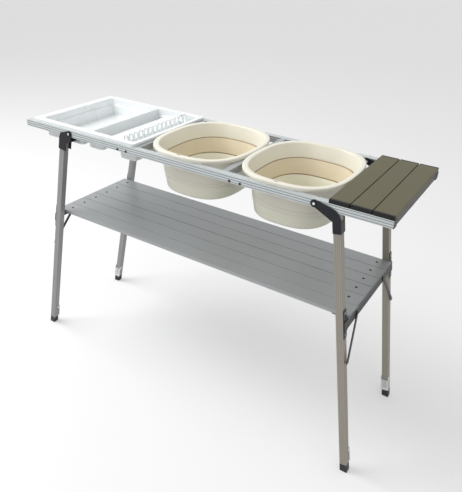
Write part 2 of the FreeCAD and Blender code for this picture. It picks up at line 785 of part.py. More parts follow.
def make_shelf_slats():
    length = "(shelf_right - shelf_left)"
    pitch = size.shelf_slat_width + size.shelf_slat_gap
    first = -(size.shelf_width - size.shelf_slat_width) / 2
    for index in range(int(size.shelf_slat_count)):
        body = new_body(f"shelf_slat_{index + 1}")
        outer = centred("shelf_slat_width", "shelf_slat_thickness")
        inner = centred("shelf_slat_width", "shelf_slat_thickness", "-shelf_slat_wall")
        pad(body, "YZ_Plane", [outer, inner], length)
        holes = [(f"{way} * ({length} / 2 - shelf_screw_inset)", "0") for way in (-1, 1)]
        drill(body, "XY_Plane", holes, "shelf_screw_radius + pivot_clearance")
        centre = Vector((size.shelf_left + size.shelf_right) / 2 - size.middle, first + index * pitch,
                        size.shelf_height - size.shelf_slat_thickness / 2)
        keep(body.Name, body, Placement(centre, Rotation()))


def make_shelf_screws():
    parts = []
    for place in shelf_screw_places():
        parts.append(rod("shelf_screw_shank", "shelf_screw_radius",
                         "shelf_slat_thickness + shelf_flange_thickness", place, Vector(0, 0, -1)))
        parts.append(rod("shelf_screw_head", "shelf_screw_head_radius", "shelf_screw_head_height", place,
                         Vector(0, 0, 1)))
    keep("shelf_screws", fused("shelf_screws", parts))


def make_shelf_bar(end):
    """Angle under the slats' ends: a flange they are screwed to, and a plate outside the legs."""
    label = f"shelf_bar_{ENDS[end]}"
    frame = leg_frame(end, FRONT)
    offset = number(OFFSET[end])
    inner = offset + size.shelf_bar_inner
    outer = offset + size.shelf_bar_outer
    start = inner if end == RIGHT else -outer
    corner = frame.multVec(Vector(start, -size.leg_width / 2, shelf_bar_low(end)))
    plate = box(label + "_plate", "shelf_bar_thickness", "frame_depth", "shelf_bar_depth", corner,
                frame.Rotation)
    edge = frame.multVec(Vector(end * outer, 0, along_leg(size.shelf_bottom, outer))).x
    flange_start = edge - size.shelf_flange_width if end == RIGHT else edge + size.shelf_flange_setback
    flange = box(label + "_flange", "shelf_flange_width - shelf_flange_setback", "shelf_width",
                 "shelf_flange_thickness",
                 Vector(flange_start, -size.shelf_width / 2,
                        size.shelf_bottom - size.shelf_flange_thickness))
    studs = []
    for row in ROWS:
        upper = strut_ends(end, row)[0]
        place = leg_frame(end, row)
        base = place.multVec(upper - Vector(end * (size.strut_gap + size.strut_stud_root), 0, 0))
        studs.append(rod(label + "_stud", "strut_pin_radius",
                         "strut_stud_root + strut_gap + strut_thickness", base,
                         place.Rotation.multVec(Vector(end, 0, 0))))
    holes = [rod(label + "_hole", "shelf_screw_radius + pivot_clearance", "3 * shelf_slat_thickness",
                 Vector(place.x, place.y, size.shelf_height), Vector(0, 0, -1))
             for place in shelf_screw_places() if place.x * end > 0]
    keep(label, cut(label, fused(label + "_solid", [plate, flange] + studs), holes))


def make_strut(end, row):
    """Flat strut, hinged on the cross bar, with an open notch that drops over the leg's pin."""
    label = f"shelf_strut_{ROWS[row]}_{ENDS[end]}"
    upper, lower = strut_ends(end, row)
    across = upper.y - lower.y
    rise = upper.z - lower.z
    reach = f"sqrt(({across})^2 + ({rise})^2)"
    tilt = math.degrees(math.atan2(-across, rise))
    start = lower.x if end == RIGHT else lower.x - size.strut_thickness
    turn = Rotation(Vector(1, 0, 0), tilt)
    corner = Vector(start, 0, lower.z) + turn.multVec(Vector(0, -size.strut_width / 2, 0))
    bar = box(label + "_bar", "strut_thickness", "strut_width", reach, corner, turn)
    rounds = [rod(label + "_end", "strut_width / 2", "strut_thickness", Vector(start, point.y, point.z),
                  Vector(1, 0, 0)) for point in (upper, lower)]
    bore = rod(label + "_bore", "strut_pin_radius + strut_pin_clearance", "3 * strut_thickness",
               Vector(start - size.strut_thickness, upper.y, upper.z), Vector(1, 0, 0))
    seat = rod(label + "_seat", "strut_pin_radius + 2 * strut_pin_clearance", "3 * strut_thickness",
               Vector(start - size.strut_thickness, lower.y, lower.z), Vector(1, 0, 0))
    half_notch = size.strut_pin_radius + 2 * size.strut_pin_clearance
    notch = box(label + "_notch", "3 * strut_thickness", "2 * (strut_pin_radius + 2 * strut_pin_clearance)",
                "2 * strut_width",
                Vector(start - size.strut_thickness, -half_notch, lower.z - 2 * size.strut_width))
    solid = fused(label + "_solid", [bar] + rounds)
    keep(label, cut(label, solid, [bore, seat, notch]), leg_frame(end, row))


# ---------------------------------------------------------------- collapsible basins


def basin_outline(half_length, half_depth, height):
    """Soft rectangle, a superellipse, as one closed curve through points of its formula."""
    power = 2 / size.basin_corner_power
    points = []
    count = 40
    for step in range(count):
        angle = 2 * math.pi * (step + 0.5) / count
        across = math.copysign(abs(math.cos(angle)) ** power, math.cos(angle))
        back = math.copysign(abs(math.sin(angle)) ** power, math.sin(angle))
        points.append(Vector(half_length * across, half_depth * back, height))
    curve = Part.BSplineCurve()
    curve.interpolate(points, PeriodicFlag=True)
    return Part.Wire([curve.toShape()])


def basin_block(low, high, inset, chamfer=0):
    """Solid between two heights, an inset in from the drafted outer face and more at its lower end."""
    top = size.rail_top + size.basin_rim_height
    wires = []
    for height, drawn_in in ((low, inset + chamfer), (high, inset)):
        share = (top - height) / size.basin_depth
        across = size.basin_top_inset_length
        across += share * (size.basin_base_inset_length - size.basin_top_inset_length)
        back = size.basin_top_inset_depth
        back += share * (size.basin_base_inset_depth - size.basin_top_inset_depth)
        wires.append(basin_outline(size.basin_half_length - across - drawn_in,
                                   size.basin_half_depth - back - drawn_in, height))
    return Part.makeLoft(wires, True, True)


def chamfered_block(low, high, inset):
    """The same solid with its lower edge cut off by the basin's chamfer."""
    shoulder = low + size.basin_chamfer
    return basin_block(low, shoulder, inset, size.basin_chamfer).fuse(basin_block(shoulder, high, inset))


def rim_block(low, high, inset):
    wires = [basin_outline(size.basin_half_length - inset, size.basin_half_depth - inset, height)
             for height in (low, high)]
    return Part.makeLoft(wires, True, True)


def make_basin(number_of, place):
    """Rim with a stiff upper wall, a soft band below it, and a stiff base: its floor and its wall."""
    top = size.rail_top + size.basin_rim_height
    seat = size.rail_top + size.basin_rim_seat
    ring_low = top - size.basin_ring_height
    band_low = ring_low - size.basin_band_height
    bottom = top - size.basin_depth
    over = 2 * size.basin_wall
    wall = size.basin_wall
    lip = rim_block(seat, top, 0)
    lip = lip.cut(rim_block(seat - over, top - size.basin_rim_thickness, size.basin_rim_thickness))
    ring = lip.fuse(basin_block(ring_low, top, 0)).cut(basin_block(ring_low - over, top + over, wall))
    band = basin_block(band_low + size.basin_joint_gap, ring_low - size.basin_joint_gap, 0)
    band = band.cut(basin_block(band_low - over, ring_low + over, wall))
    floor_top = bottom + size.basin_floor
    shell = chamfered_block(bottom, band_low, 0).cut(chamfered_block(floor_top, band_low + over, wall))
    slab = rim_block(bottom - over, floor_top, 0)
    base = Part.makeCompound([shell.common(slab), shell.cut(slab)])
    shapes = {"rim": ring, "wall": band, "base": base}
    for kind, shape in shapes.items():
        label = f"basin_{number_of}_{kind}"
        piece = doc.addObject("Part::Feature", label)
        piece.Shape = shape
        keep(label, piece, Placement(Vector(number(place) - size.middle, 0, 0), Rotation()))


# ---------------------------------------------------------------- drainer tray


def tray_block(left, right, front, top, bottom, inset=0.0):
    """Upright block in the tray, from the rails' left end and the frame's front face."""
    back = size.frame_depth - front
    low = Vector(left + inset - size.middle, front + inset - size.frame_depth / 2, bottom)
    return Part.makeBox(right - left - 2 * inset, back - front - 2 * inset, top - bottom, low)


def make_tray():
    """Shallow tray on the rails with three wells below its floor and a divider in the middle one."""
    top = size.rail_top + size.tray_rim_height
    seat = size.rail_top + size.tray_rim_seat
    floor = size.rail_top - size.tray_floor_drop
    wall = size.tray_wall
    side = size.tray_side_inset
    left = size.tray_left + size.tray_left_inset
    right = size.tray_right - size.tray_right_inset
    shape = tray_block(size.tray_left, size.tray_right, size.tray_front, top, seat)
    shape = shape.cut(tray_block(size.tray_left, size.tray_right, size.tray_front, top - wall,
                                 seat - 1, wall))
    shape = shape.fuse(tray_block(left, right, side, top, floor))
    end = size.tray_right
    wells = [(size.tray_left + size.left_well_start, end - size.left_well_end, size.well_drop),
             (end - size.middle_well_start, end - size.middle_well_end, size.well_drop),
             (end - size.plate_well_start, end - size.plate_well_end, size.plate_well_drop)]
    for low, high, drop in wells:
        shape = shape.fuse(tray_block(low, high, size.well_front, floor, size.rail_top - drop))
    shape = shape.cut(tray_block(left, right, side, top + wall, floor + wall, wall))
    for low, high, drop in wells:
        shape = shape.cut(tray_block(low, high, size.well_front, top, size.rail_top - drop + wall, wall))
    divider = end - size.tray_divider_place
    for front, drop in ((side, size.tray_floor_drop), (size.well_front, size.well_drop)):
        shape = shape.fuse(tray_block(divider - wall / 2, divider + wall / 2, front + wall / 2, top,
                                      size.rail_top - drop + wall / 2))
    piece = doc.addObject("Part::Feature", "drainer_tray")
    piece.Shape = shape.removeSplitter()
    keep("drainer_tray", piece)


def make_prongs():
    """Row of upright loops with round tops, standing on the floor of the plate well."""
    across = size.tray_right - size.prong_place - size.middle
    start = -size.prong_row / 2
    parts = []
    for index in range(int(size.prong_count)):
        low = start + index * size.prong_pitch
        parts.append(box("prong_stem", "prong_width", "prong_thickness", "prong_shoulder - prong_floor",
                         Vector(across - size.prong_width / 2, low, size.prong_floor)))
        parts.append(rod("prong_top", "prong_width / 2", "prong_thickness",
                         Vector(across, low, size.prong_shoulder), Vector(0, 1, 0)))
    eye = [box("prong_eye", "prong_width - 2 * prong_bar", "prong_row",
               "prong_shoulder - prong_floor - prong_web",
               Vector(across - size.prong_width / 2 + size.prong_bar, start,
                      size.prong_floor + size.prong_web)),
           rod("prong_eye_top", "prong_width / 2 - prong_bar", "prong_row",
               Vector(across, start, size.prong_shoulder), Vector(0, 1, 0))]
    keep("plate_prongs", cut("plate_prongs", fused("prong_solid", parts), eye))


for row in ROWS:
    make_rail(row)
make_rail_plugs()
make_bar("left_end_bar", "left_bar_middle")
make_bar("tray_cross_bar", "tray_bar_middle", plate_side=-1)
make_bar("basin_cross_bar", "basin_bar_middle", plate_side=1)
make_bar("table_cross_bar", "table_bar_middle")
make_bar("right_end_bar", "right_bar_middle")
make_rail_screws()
make_pivot_rivets()
make_end_table()
for end in ENDS:
    for row in ROWS:
        place = leg_frame(end, row)
        make_leg_tube(end, row, place)
        make_bracket(end, row, place)
        make_hook(end, row, place)
        make_leg_pins(end, row, place)
        make_foot(end, row, place)
        make_lever(end, row, place)
make_shelf_slats()
make_shelf_screws()
for end in ENDS:
    make_shelf_bar(end)
    for row in ROWS:
        make_strut(end, row)
make_basin(1, "basin_left_place")
make_basin(2, "basin_right_place")
make_tray()
make_prongs()
doc.recompute()

for item in doc.Objects:
    if "Invalid" in item.State or "Error" in item.State:
        raise RuntimeError(f"{item.Label} did not recompute")
os.makedirs("parts", exist_ok=True)
for label, piece in pieces.items():
    if piece.Shape.isNull() or not piece.Shape.isValid():
        raise RuntimeError(f"{label} has no valid shape")
    piece.Shape.exportStep(f"parts/{label}.step")
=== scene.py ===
import math

import bmesh
import bpy
from mathutils import Matrix, Vector


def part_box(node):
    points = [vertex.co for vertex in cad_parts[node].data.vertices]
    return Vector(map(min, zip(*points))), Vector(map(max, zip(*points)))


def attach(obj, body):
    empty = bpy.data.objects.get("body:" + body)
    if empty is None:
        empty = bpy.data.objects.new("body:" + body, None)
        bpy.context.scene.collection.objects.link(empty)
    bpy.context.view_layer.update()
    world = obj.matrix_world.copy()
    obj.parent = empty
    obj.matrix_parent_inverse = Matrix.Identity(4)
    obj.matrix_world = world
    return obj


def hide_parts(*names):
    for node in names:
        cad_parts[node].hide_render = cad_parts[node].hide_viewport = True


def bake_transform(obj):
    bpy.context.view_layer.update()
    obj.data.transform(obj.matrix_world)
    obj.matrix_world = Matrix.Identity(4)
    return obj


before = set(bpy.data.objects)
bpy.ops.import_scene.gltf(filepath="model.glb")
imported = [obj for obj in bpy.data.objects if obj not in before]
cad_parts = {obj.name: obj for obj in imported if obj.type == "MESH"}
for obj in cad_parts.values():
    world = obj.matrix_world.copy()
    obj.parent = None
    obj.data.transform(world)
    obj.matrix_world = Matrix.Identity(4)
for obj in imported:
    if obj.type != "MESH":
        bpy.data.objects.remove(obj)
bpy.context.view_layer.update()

# ---------------------------------------------------------------- camera, floor and lights
# A standing person's view from the right front, over a plain pale floor. A large soft lamp stands high
# at the left front, with a weak one at the right, and the rest of the light is an even white sky.

CAMERA_PLACE = (0.86593, -1.39278, 1.34708)
CAMERA_DEGREES = (64.1808, -1.8742, 34.2892)
camera_data = bpy.data.cameras.new("camera")
camera_data.lens = 42.18
camera_data.shift_x, camera_data.shift_y = 0.0657, -0.0660
camera = bpy.data.objects.new("camera", camera_data)
camera.location = CAMERA_PLACE
camera.rotation_euler = [math.radians(angle) for angle in CAMERA_DEGREES]
bpy.context.scene.collection.objects.link(camera)
bpy.context.scene.camera = camera
bpy.context.scene.view_settings.view_transform = "Standard"


def wire(tree, kind, inputs, **settings):
    """Add a node. Each input is a plain value or the output of another node."""
    node = tree.nodes.new("ShaderNode" + kind)
    for setting, value in settings.items():
        setattr(node, setting, value)
    for label, value in inputs.items():
        if isinstance(value, bpy.types.NodeSocket):
            tree.links.new(value, node.inputs[label])
        else:
            node.inputs[label].default_value = value
    return node


def math_node(tree, operation, *values):
    """The output of a node that calculates with the given values."""
    return wire(tree, "Math", dict(enumerate(values)), operation=operation).outputs[0]


def seen_or_mirrored(tree):
    """1 for what the camera sees directly or in gloss and glass, and 0 for light on the object."""
    path = wire(tree, "LightPath", {}).outputs
    gloss = math_node(tree, "MAXIMUM", path["Is Camera Ray"], path["Is Glossy Ray"])
    return math_node(tree, "MAXIMUM", gloss, path["Is Transmission Ray"])


WHITE = (1, 1, 1, 1)
FLOOR_SIZE = 90
FLOOR_GREY = (0.56, 0.56, 0.56, 1)
FLOOR_GLOW = 0.36
bpy.ops.object.select_all(action="DESELECT")
bpy.ops.mesh.primitive_plane_add(size=FLOOR_SIZE, location=(0, 0, 0))
floor = bpy.context.object
floor.name = "floor"
paper = bpy.data.materials.new("pale floor")
paper.use_nodes = True
paper_shader = paper.node_tree.nodes["Principled BSDF"]
paper_shader.inputs["Base Color"].default_value = FLOOR_GREY
paper_shader.inputs["Roughness"].default_value = 0.8
paper_shader.inputs["Emission Color"].default_value = WHITE
paper_glow = math_node(paper.node_tree, "MULTIPLY", seen_or_mirrored(paper.node_tree), FLOOR_GLOW)
paper.node_tree.links.new(paper_glow, paper_shader.inputs["Emission Strength"])
floor.data.materials.append(paper)

SKY_ON_OBJECT, SKY_SEEN = 0.56, 0.95
sky = bpy.data.worlds.new("white room")
bpy.context.scene.world = sky
sky.use_nodes = True
sky_light = sky.node_tree.nodes["Background"]
sky_light.inputs["Color"].default_value = WHITE
sky_level = wire(sky.node_tree, "MapRange", {"Value": seen_or_mirrored(sky.node_tree),
                                             "To Min": SKY_ON_OBJECT, "To Max": SKY_SEEN})
sky.node_tree.links.new(sky_level.outputs[0], sky_light.inputs["Strength"])

# Each lamp's name, place, width in metres and power in watts. Both point at the middle of the stand.
LAMPS = [("key lamp", (-2.2, -0.9, 3.1), 2.2, 104), ("fill lamp", (2.4, -1.6, 1.9), 2.0, 8)]
LAMP_AIM = Vector((0, 0, 0.5))
for lamp_name, lamp_place, lamp_size, lamp_power in LAMPS:
    lamp_data = bpy.data.lights.new(lamp_name, "AREA")
    lamp_data.size = lamp_size
    lamp_data.energy = lamp_power
    lamp = bpy.data.objects.new(lamp_name, lamp_data)
    lamp.location = lamp_place
    lamp.rotation_euler = (LAMP_AIM - lamp.location).to_track_quat("-Z", "Y").to_euler()
    bpy.context.scene.collection.objects.link(lamp)


# ---------------------------------------------------------------- top frame
# Two anodised aluminium box rails with fine grooves run from end to end, with hollow bars between them.
# They are drawn through a die, which leaves faint lines along them, and cut to length.


def effect_group(name, inputs, outputs):
    """Start a shader node group with named inputs, a default each, and named outputs."""
    group = bpy.data.node_groups.new(name, "ShaderNodeTree")
    for label, kind, value in inputs:
        socket = group.interface.new_socket(label, in_out="INPUT", socket_type="NodeSocket" + kind)
        if value is not None:
            socket.default_value = value
    for label, kind in outputs:
        group.interface.new_socket(label, in_out="OUTPUT", socket_type="NodeSocket" + kind)
    return group, group.nodes.new("NodeGroupInput").outputs, group.nodes.new("NodeGroupOutput").inputs


SURFACE = [("Colour", "Color"), ("Roughness", "Float"), ("Height", "Float")]


def speckle(tree, coordinate, scale, **settings):
    """Noise of a given scale over a coordinate."""
    return wire(tree, "TexNoise", {"Vector": coordinate, "Scale": scale, **settings}).outputs[0]


def tinted(tree, colour, brightness):
    """A colour made lighter or darker by a factor."""
    return wire(tree, "VectorMath", {0: colour, "Scale": brightness}, operation="SCALE").outputs[0]


def make_drawn_lines():
    """Drawn metal that runs along the coordinate's X: ribs whose grooves are painted dark as shade, die
    lines and faint handling marks.
    """
    rib_sharpness, painted_groove_shade, widest_slope = 3.0, -0.7, 0.6
    die_lines, die_shade, die_roughness, die_relief = (5, 620, 620), 0.14, 0.1, 0.06
    smudge_scale, smudge_shade, smudge_roughness = 17.0, 0.12, 0.22
    unmarked_shade, mean_roughness = 0.88, (smudge_roughness + die_roughness) / 2
    group, given, made = effect_group("drawn lines", [
        ("Coordinate", "Vector", None), ("Colour", "Color", (0.7, 0.7, 0.7, 1)),
        ("Roughness", "Float", 0.4), ("Rib pitch", "Float", 0.004),
        ("Ribs across Y", "Float", 0.0), ("Ribs across Z", "Float", 0.0),
        ("Facing", "Vector", None)], SURFACE)
    axes = wire(group, "SeparateXYZ", {0: given["Coordinate"]}).outputs
    facing = wire(group, "SeparateXYZ", {0: given["Facing"]}).outputs
    grooves = []
    for axis in "YZ":
        turns = math_node(group, "DIVIDE", axes[axis], given["Rib pitch"])
        wave = math_node(group, "COSINE", math_node(group, "MULTIPLY", turns, 2 * math.pi))
        hill = math_node(group, "MULTIPLY_ADD", wave, 0.5, 0.5)
        narrow = math_node(group, "POWER", hill, rib_sharpness)
        slope = math_node(group, "ABSOLUTE", facing[axis])
        strength = math_node(group, "MULTIPLY", math_node(group, "LESS_THAN", slope, widest_slope),
                             given["Ribs across " + axis])
        grooves.append(math_node(group, "MULTIPLY", narrow, strength))
    groove = math_node(group, "ADD", *grooves)
    stretched = wire(group, "VectorMath", {0: given["Coordinate"], 1: die_lines},
                     operation="MULTIPLY").outputs[0]
    streak = speckle(group, stretched, 1.0, Detail=2.0)
    smudge = speckle(group, given["Coordinate"], smudge_scale, Detail=4.0)
    # Painted shade: the grooves darken the colour, standing for the shade that falls in them.
    shade = math_node(group, "MULTIPLY_ADD", groove, painted_groove_shade, unmarked_shade)
    shade = math_node(group, "MULTIPLY_ADD", streak, die_shade, shade)
    shade = math_node(group, "MULTIPLY_ADD", smudge, smudge_shade, shade)
    rough = math_node(group, "MULTIPLY_ADD", smudge, smudge_roughness, given["Roughness"])
    rough = math_node(group, "MULTIPLY_ADD", streak, die_roughness, rough)
    sunk = math_node(group, "MULTIPLY", groove, -1.0)
    height = math_node(group, "MULTIPLY_ADD", streak, die_relief, sunk)
    group.links.new(tinted(group, given["Colour"], shade), made["Colour"])
    group.links.new(math_node(group, "SUBTRACT", rough, mean_roughness), made["Roughness"])
    group.links.new(height, made["Height"])
    return group


def made_of(name, effect, values, metallic=0.0, relief=0.0002, turn=(0, 0, 0), shift=(0, 0, 0),
            coat=0.0, specular=0.5):
    """A material whose colour, roughness and relief come from a shared effect."""
    material = bpy.data.materials.new(name)
    material.use_nodes = True
    tree = material.node_tree
    shader = tree.nodes["Principled BSDF"]
    place = wire(tree, "TexCoord", {}).outputs
    turned = wire(tree, "Mapping", {"Vector": place["Object"], "Rotation": turn, "Location": shift})
    look = wire(tree, "Group", {}, node_tree=effect)
    tree.links.new(turned.outputs[0], look.inputs["Coordinate"])
    if "Facing" in look.inputs:
        facing = wire(tree, "Mapping", {"Vector": place["Normal"], "Rotation": turn},
                      vector_type="VECTOR")
        tree.links.new(facing.outputs[0], look.inputs["Facing"])
    for label, value in values.items():
        look.inputs[label].default_value = value
    bump = wire(tree, "Bump", {"Height": look.outputs["Height"], "Distance": relief})
    tree.links.new(look.outputs["Colour"], shader.inputs["Base Color"])
    tree.links.new(look.outputs["Roughness"], shader.inputs["Roughness"])
    tree.links.new(bump.outputs[0], shader.inputs["Normal"])
    shader.inputs["Metallic"].default_value = metallic
    shader.inputs["Coat Weight"].default_value = coat
    shader.inputs["Specular IOR Level"].default_value = specular
    return material


def dress(node, material):
    """Give a frame piece that stays as it is its finish."""
    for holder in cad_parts[node].material_slots:
        holder.material = material


drawn_lines = make_drawn_lines()
# The bars are silver like the rails; their darker grey is painted shade.
RAIL_COLOUR, SHADED_BAR_COLOUR = (0.66, 0.70, 0.71, 1), (0.40, 0.42, 0.42, 1)
RAIL_RIB_PITCH = 0.0068
ACROSS = (0, 0, math.pi / 2)
rail_low, rail_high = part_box("rear_rail")
rail_middle = (rail_low + rail_high) / 2
rail_metal = made_of("anodised rail", drawn_lines, {
    "Colour": RAIL_COLOUR, "Roughness": 0.42, "Rib pitch": RAIL_RIB_PITCH, "Ribs across Y": 0.7,
    "Ribs across Z": 1.0}, metallic=0.55, relief=0.0003, shift=(0, 0, -rail_middle.z))
shaded_bar_metal = made_of("anodised bar with painted shade", drawn_lines, {"Colour": SHADED_BAR_COLOUR, "Roughness": 0.45},
                    metallic=0.55, turn=ACROSS)
for node in ("front_rail", "rear_rail"):
    dress(node, rail_metal)
for node in ("left_end_bar", "tray_cross_bar", "basin_cross_bar", "table_cross_bar"):
    dress(node, shaded_bar_metal)


# ---------------------------------------------------------------- plugs in the rails' ends
# Black plastic plugs pressed into the four open ends of the rails, with a rounded rim outside.


def make_moulded():
    """Moulded plastic or rubber: a fine grain, and a tone that drifts a little over the piece."""
    drift_scale, drift_roughness = 11.0, 0.25
    group, given, made = effect_group("moulded", [
        ("Coordinate", "Vector", None), ("Colour", "Color", (0.5, 0.5, 0.5, 1)),
        ("Roughness", "Float", 0.4), ("Grain", "Float", 900.0), ("Drift", "Float", 0.06)], SURFACE)
    grain = speckle(group, given["Coordinate"], given["Grain"], Detail=2.0)
    drift = speckle(group, given["Coordinate"], drift_scale, Detail=3.0)
    centred = math_node(group, "SUBTRACT", drift, 0.5)
    shade = math_node(group, "MULTIPLY_ADD", centred, given["Drift"], 1.0)
    rough = math_node(group, "MULTIPLY_ADD", centred, drift_roughness, given["Roughness"])
    group.links.new(tinted(group, given["Colour"], shade), made["Colour"])
    group.links.new(rough, made["Roughness"])
    group.links.new(grain, made["Height"])
    return group


def only(piece):
    """Leave one piece selected and active, in object mode."""
    if bpy.context.mode != "OBJECT":
        bpy.ops.object.mode_set(mode="OBJECT")
    bpy.ops.object.select_all(action="DESELECT")
    piece.select_set(True)
    bpy.context.view_layer.objects.active = piece


def merged():
    """Merge the active piece's doubled points, and its faces that lie in one plane."""
    bpy.ops.object.mode_set(mode="EDIT")
    bpy.ops.mesh.select_all(action="SELECT")
    bpy.ops.mesh.remove_doubles(threshold=0.00001)
    bpy.ops.mesh.dissolve_limited(angle_limit=math.radians(1))
    bpy.ops.object.mode_set(mode="OBJECT")


def rounded(piece, radius, segments, sharp):
    """Round the active piece's edges that turn by more than so many degrees."""
    rounding = piece.modifiers.new("rounding", "BEVEL")
    rounding.width = radius
    rounding.segments = segments
    rounding.limit_method = "ANGLE"
    rounding.angle_limit = math.radians(sharp)
    bpy.ops.object.modifier_apply(modifier=rounding.name)


def shaded_evenly(piece, limit):
    """Shade smooth up to a limit in degrees, with the flat faces kept flat beside their rounded edges."""
    bpy.ops.object.shade_smooth_by_angle(angle=math.radians(limit))
    evened = piece.modifiers.new("even shading", "WEIGHTED_NORMAL")
    evened.keep_sharp = True
    bpy.ops.object.modifier_apply(modifier=evened.name)


def softened(node, radius, segments=2):
    """A copy of a frame piece with its sharp edges rounded over, to stand for that piece."""
    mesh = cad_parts[node].data.copy()
    piece = bpy.data.objects.new(node + "_soft", mesh)
    bpy.context.scene.collection.objects.link(piece)
    only(piece)
    bpy.ops.mesh.customdata_custom_splitnormals_clear()
    merged()
    rounded(piece, radius, segments, sharp=35)
    shaded_evenly(piece, 38)
    return piece


def finished(piece, body, slot, material, *nodes):
    """Give a piece its finish, the body that it moves with and the frame pieces that it stands for."""
    piece.data.materials.clear()
    piece.data.materials.append(material)
    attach(piece, body)
    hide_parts(*nodes)
    return piece


moulded = make_moulded()
plug_plastic = made_of("black plug plastic", moulded, {
    "Colour": (0.012, 0.012, 0.015, 1), "Roughness": 0.45, "Drift": 0.3}, relief=0.00005)
finished(softened("rail_end_plugs", radius=0.0006), "frame", "black_plastic", plug_plastic,
         "rail_end_plugs")


# ---------------------------------------------------------------- screws in the rails and the shelf
# Black steel pan-head screws with a cross recess. Two pairs hold each rail to the bars beside the
# vessels, and one holds each end of every shelf slat.

HEAD_RADIUS, SHANK_RADIUS = 0.0036, 0.002
CROSS_LENGTH, CROSS_WIDTH = 0.0036, 0.0008
RAIL_HEAD_HEIGHT, RAIL_SHANK = 0.0012, 0.0236
SHELF_HEAD_HEIGHT, SHELF_SHANK = 0.001, 0.0115
RAIL_SCREW_EDGE, RAIL_SCREW_PITCH, RAIL_SCREW_DROP = 0.012, 0.032, 0.0055
SHELF_SCREW_INSET = 0.035


def pick_faces(piece, wanted):
    """In edit mode, leave only the faces selected whose centre and normal are as wanted."""
    bpy.ops.mesh.select_mode(type="FACE")
    bpy.ops.mesh.select_all(action="DESELECT")
    shape = bmesh.from_edit_mesh(piece.data)
    for face in shape.faces:
        if wanted(face.calc_center_median(), face.normal):
            face.select_set(True)
    bmesh.update_edit_mesh(piece.data)


def pick_edges(piece, wanted):
    """In edit mode, leave only the edges selected whose two ends are as wanted."""
    bpy.ops.mesh.select_mode(type="EDGE")
    bpy.ops.mesh.select_all(action="DESELECT")
    shape = bmesh.from_edit_mesh(piece.data)
    for edge in shape.edges:
        if wanted(edge.verts[0].co, edge.verts[1].co):
            edge.select_set(True)
    bmesh.update_edit_mesh(piece.data)


def raised(step):
    """Push the selected faces up by a step, or down where it is negative."""
    bpy.ops.mesh.extrude_region_move(TRANSFORM_OT_translate={"value": (0, 0, step)})


def combined(piece, operation, tool):
    """Join a tool to the piece, or cut it away. The tool is used up."""
    step = piece.modifiers.new("step", "BOOLEAN")
    step.operation = operation
    step.object = tool
    only(piece)
    bpy.ops.object.modifier_apply(modifier=step.name)
    bpy.data.objects.remove(tool)


def block(centre, scale, rotation=(0, 0, 0)):
    """A box to cut with."""
    bpy.ops.object.select_all(action="DESELECT")
    bpy.ops.mesh.primitive_cube_add(size=1, location=centre, rotation=rotation)
    tool = bpy.context.object
    tool.scale = scale
    return tool


def disc(radius, height, sides):
    """A flat cylinder on the origin, in edit mode, to be shaped into a fastener's head."""
    bpy.ops.object.select_all(action="DESELECT")
    bpy.ops.mesh.primitive_cylinder_add(vertices=sides, radius=radius, depth=height,
                                        location=(0, 0, height / 2))
    bpy.ops.object.transform_apply(location=True, rotation=True, scale=True)
    bpy.ops.object.mode_set(mode="EDIT")
    return bpy.context.object


def top_rounded(head, height, radius, segments):
    """In edit mode, round the edge round the top of a head."""
    pick_edges(head, lambda a, b: min(a.z, b.z) > height * 0.99)
    bpy.ops.mesh.bevel(offset=radius, segments=segments, affect="EDGES")


def pan_head(head_height, shank_length):
    """One screw, its head's underside at the origin and its head towards +Z."""
    screw = disc(HEAD_RADIUS, head_height, sides=28)
    pick_faces(screw, lambda centre, normal: normal.z < -0.9)
    bpy.ops.mesh.inset(thickness=HEAD_RADIUS - SHANK_RADIUS)
    raised(-shank_length)
    top_rounded(screw, head_height, head_height * 0.55, segments=4)
    bpy.ops.object.mode_set(mode="OBJECT")
    for turn in (0, math.pi / 2):
        blade = block((0, 0, head_height), (CROSS_LENGTH, CROSS_WIDTH, head_height), (0, 0, turn))
        combined(screw, "DIFFERENCE", blade)
    bpy.ops.object.shade_smooth_by_angle(angle=math.radians(40))
    return screw


def copied(name, pattern, places):
    """Copies of one pattern at several places, joined into one piece. The pattern is used up."""
    copies = []
    for place in places:
        copy = bpy.data.objects.new(name, pattern.data.copy())
        copy.data.transform(place)
        bpy.context.scene.collection.objects.link(copy)
        copies.append(copy)
    bpy.ops.object.select_all(action="DESELECT")
    for copy in copies:
        copy.select_set(True)
    bpy.context.view_layer.objects.active = copies[0]
    bpy.ops.object.join()
    joined = bpy.context.object
    bpy.data.objects.remove(pattern)
    joined.name = name
    return joined


screw_steel = made_of("black screw steel", moulded, {
    "Colour": (0.02, 0.02, 0.022, 1), "Roughness": 0.38, "Drift": 0.5}, metallic=0.5, relief=0.00003)
tray_bar_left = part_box("tray_cross_bar")[0].x
basin_bar_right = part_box("basin_cross_bar")[1].x
rail_screw_row = [tray_bar_left + RAIL_SCREW_EDGE, tray_bar_left + RAIL_SCREW_EDGE + RAIL_SCREW_PITCH,
                  basin_bar_right - RAIL_SCREW_EDGE - RAIL_SCREW_PITCH, basin_bar_right - RAIL_SCREW_EDGE]
rail_screw_places = [
    Matrix.Translation((across, side * rail_high.y, rail_middle.z - RAIL_SCREW_DROP))
    @ Matrix.Rotation(-side * math.pi / 2, 4, "X")
    for side in (-1, 1) for across in rail_screw_row]
finished(copied("rail_screw_heads", pan_head(RAIL_HEAD_HEIGHT, RAIL_SHANK), rail_screw_places),
         "frame", "fastener", screw_steel, "rail_screws")

SHELF_SLATS = [f"shelf_slat_{number}" for number in range(1, 7)]
shelf_screw_places = []
for slat in SHELF_SLATS:
    slat_low, slat_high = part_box(slat)
    for across in (slat_low.x + SHELF_SCREW_INSET, slat_high.x - SHELF_SCREW_INSET):
        shelf_screw_places.append(
            Matrix.Translation((across, (slat_low.y + slat_high.y) / 2, slat_high.z)))
finished(copied("shelf_screw_heads", pan_head(SHELF_HEAD_HEIGHT, SHELF_SHANK), shelf_screw_places),
         "shelf", "fastener", screw_steel, "shelf_screws")


